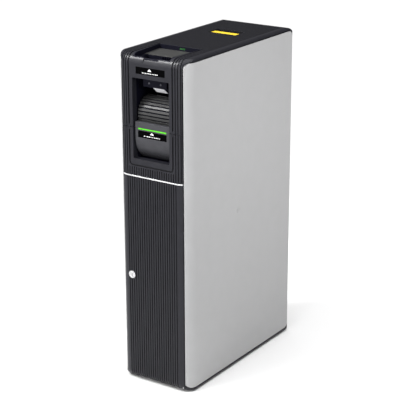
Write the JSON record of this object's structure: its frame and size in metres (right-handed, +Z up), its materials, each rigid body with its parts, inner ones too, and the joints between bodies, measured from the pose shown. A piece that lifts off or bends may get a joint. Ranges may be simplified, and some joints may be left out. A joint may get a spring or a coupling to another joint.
{
  "type": "ticket vending machine",
  "caption": "Slim free-standing ticket machine: feed tray on top, front bay with a curved ribbed shutter, ribbed locking door, light side panels.",
  "frame": {"origin": "on the floor under the middle of the cabinet", "axes": "+Z up, -Y out of the front face, +X on the right-hand side seen from the front"},
  "size_m": [0.2504, 0.5655, 1],
  "materials": {
    "dark_plastic": "fine spark texture",
    "panel_paint": "satin silver grey powder coat",
    "dark_steel": "black powder coat",
    "sheet_steel": "galvanised",
    "steel_pin": "ground",
    "bright_steel": "polished",
    "lock_chrome": "satin chrome",
    "white_trim": "satin",
    "black_plastic": "moulded",
    "liner_black": "moulded",
    "shutter_plastic": "semi gloss",
    "label_black": "gloss film",
    "tray_grey": "satin",
    "yellow_plastic": "satin",
    "green_light": "translucent, lit from behind",
    "black_rubber": "matte",
    "printer_aluminium": "bead blasted",
    "ticket_paper": "uncoated",
    "core_card": "spiral wound",
    "red_plastic": "gloss"
  },
  "bodies": {
    "cabinet": {"base_skirt": "dark_plastic", "base_plate": "sheet_steel", "levelling_feet": "black_rubber", "right_wall": "dark_steel", "left_wall": "dark_steel", "right_side_panel": "panel_paint", "left_side_panel": "panel_paint", "panel_caps": "panel_paint", "rear_panel": "dark_steel", "rear_cap": "dark_plastic", "cover_hinge_pins": "steel_pin", "top_crossbar": "sheet_steel", "magnet_catches": "black_plastic", "mid_shelf": "sheet_steel", "trim_strip": "white_trim", "door_hinge_pins": "steel_pin", "lock_strike": "sheet_steel", "lower_bezel": "dark_plastic", "head_hinge_pins": "steel_pin", "bay_liner": "liner_black", "outlet_cover": "dark_plastic", "led_strip": "green_light", "outlet_label": "label_black", "shutter_axle": "steel_pin", "inlet_chute": "liner_black", "chute_lip": "bright_steel", "chute_screws": "bright_steel", "inlet_frame": "sheet_steel", "printer_frame": "sheet_steel", "print_head": "printer_aluminium", "printer_motor": "dark_steel", "reel_stand": "sheet_steel", "reel_spindle": "steel_pin", "power_supply": "printer_aluminium", "controller_box": "dark_steel", "mains_inlet": "black_plastic", "fan_frame": "black_plastic"},
    "door": {"door_panel": "dark_plastic", "door_stiffener": "sheet_steel", "lock_barrel": "lock_chrome"},
    "lock": {"lock_plug": "lock_chrome", "lock_cam": "steel_pin"},
    "head": {"head_shell": "dark_plastic", "head_label": "label_black", "tray_dish": "black_plastic", "tray_plate": "tray_grey", "tray_lens": "green_light"},
    "cover": {"top_cover": "dark_plastic", "pull_tub": "black_plastic", "pull_pin": "steel_pin"},
    "pull": {"pull_bar": "yellow_plastic"},
    "shutter": {"outlet_shutter": "shutter_plastic"},
    "inlet_drive": {"inlet_roller": "black_rubber"},
    "inlet_pinch": {"pinch_roller": "black_rubber"},
    "platen": {"platen_roller": "black_rubber"},
    "reel": {"ticket_reel": "ticket_paper", "reel_core": "core_card"},
    "fan": {"fan_rotor": "black_plastic"},
    "bin": {"ticket_bin": "sheet_steel"},
    "rocker": {"power_rocker": "red_plastic"}
  },
  "joints": [
    {"name": "door_swing", "type": "hinge", "parent": "cabinet", "child": "door", "pos_m": [0.09928, -0.27514, 0.3], "axis": [0, 0, 1], "range_deg": [0, 100]},
    {"name": "lock_turn", "type": "hinge", "parent": "door", "child": "lock", "pos_m": [-0.0756, -0.282, 0.3385], "axis": [0, 1, 0], "range_deg": [0, 90]},
    {"name": "head_tilt", "type": "hinge", "parent": "cabinet", "child": "head", "pos_m": [0, -0.2796, 0.7914], "axis": [1, 0, 0], "range_deg": [0, 55]},
    {"name": "cover_lift", "type": "hinge", "parent": "cabinet", "child": "cover", "pos_m": [0, 0.2467, 0.9976], "axis": [-1, 0, 0], "range_deg": [0, 75]},
    {"name": "pull_lift", "type": "hinge", "parent": "cover", "child": "pull", "pos_m": [0, 0.086, 0.9951], "axis": [1, 0, 0], "range_deg": [0, 50], "stiffness_Nm_per_rad": 0.05},
    {"name": "shutter_turn", "type": "hinge", "parent": "cabinet", "child": "shutter", "pos_m": [0, -0.215, 0.822], "axis": [-1, 0, 0], "range_deg": [0, 65]},
    {"name": "inlet_roller_spin", "type": "hinge", "parent": "cabinet", "child": "inlet_drive", "pos_m": [0, -0.198, 0.97015], "axis": [1, 0, 0], "continuous": true},
    {"name": "pinch_roller_spin", "type": "hinge", "parent": "cabinet", "child": "inlet_pinch", "pos_m": [0, -0.198, 0.95385], "axis": [1, 0, 0], "continuous": true},
    {"name": "platen_spin", "type": "hinge", "parent": "cabinet", "child": "platen", "pos_m": [0, -0.092, 0.8], "axis": [1, 0, 0], "continuous": true},
    {"name": "reel_spin", "type": "hinge", "parent": "cabinet", "child": "reel", "pos_m": [0, 0.058, 0.795], "axis": [1, 0, 0], "continuous": true},
    {"name": "fan_spin", "type": "hinge", "parent": "cabinet", "child": "fan", "pos_m": [0, 0.262, 0.88], "axis": [0, 1, 0], "continuous": true},
    {"name": "bin_lift", "type": "slide", "parent": "cabinet", "child": "bin", "axis": [0, 0, 1], "range_m": [0, 0.025]},
    {"name": "switch_rock", "type": "hinge", "parent": "cabinet", "child": "rocker", "pos_m": [0, 0.274, 0.128], "axis": [1, 0, 0], "range_deg": [0, 12]}
  ],
  "couplings": [
    {"joint": "pinch_roller_spin", "follows": "inlet_roller_spin", "ratio": -1},
    {"joint": "reel_spin", "follows": "platen_spin", "ratio": -0.13889}
  ]
}
